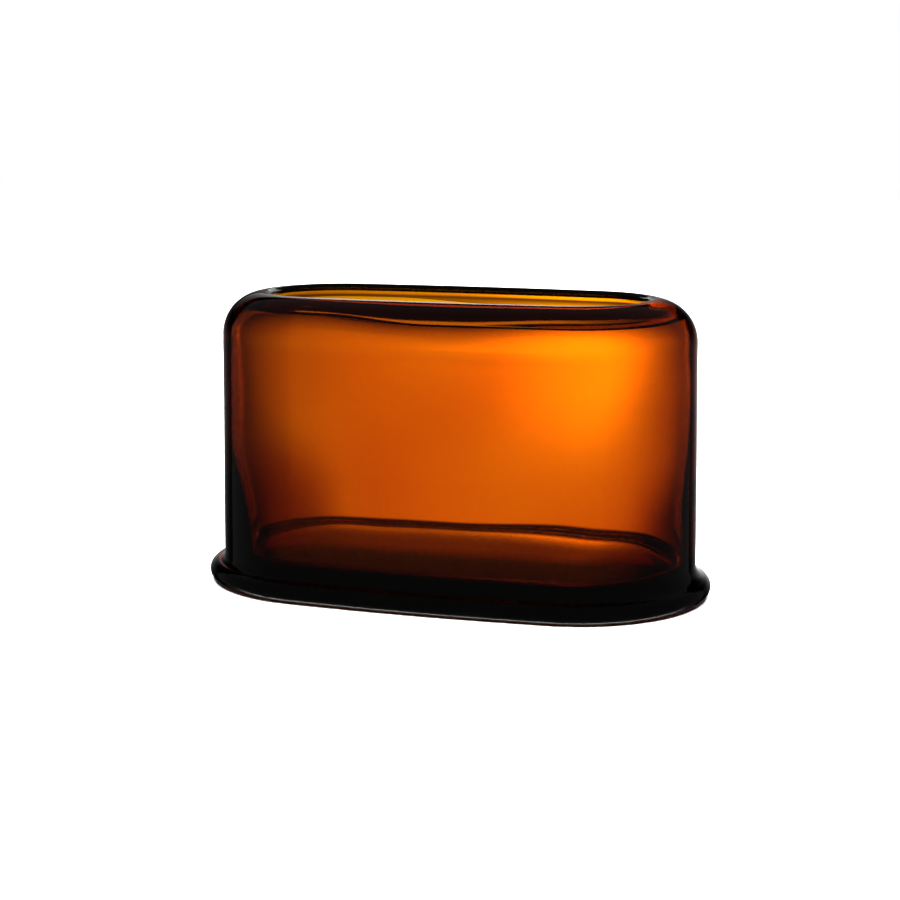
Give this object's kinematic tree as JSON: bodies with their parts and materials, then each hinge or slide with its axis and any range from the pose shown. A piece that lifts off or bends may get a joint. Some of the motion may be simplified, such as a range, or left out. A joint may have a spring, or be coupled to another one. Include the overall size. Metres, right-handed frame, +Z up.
{
  "type": "oval glass vase",
  "caption": "Wide oval vase in amber blown glass, with a rounded shoulder, an open mouth with a wrapped lip, and a flared bead foot.",
  "frame": {"origin": "centre of the face that the vase stands on", "axes": "+Z up, +X along the long axis of the oval, -Y the front"},
  "size_m": [0.2706, 0.1474, 0.1535],
  "materials": {
    "body_glass": "fire-polished transparent amber",
    "lip_glass": "fire-polished transparent amber, deeper where it is thick",
    "foot_glass": "fire-polished transparent amber, nearly black where it is thickest, with a polished underside"
  },
  "bodies": {
    "root": {"blown_body": "body_glass", "lip_wrap": "lip_glass", "foot": "foot_glass"}
  },
  "joints": []
}
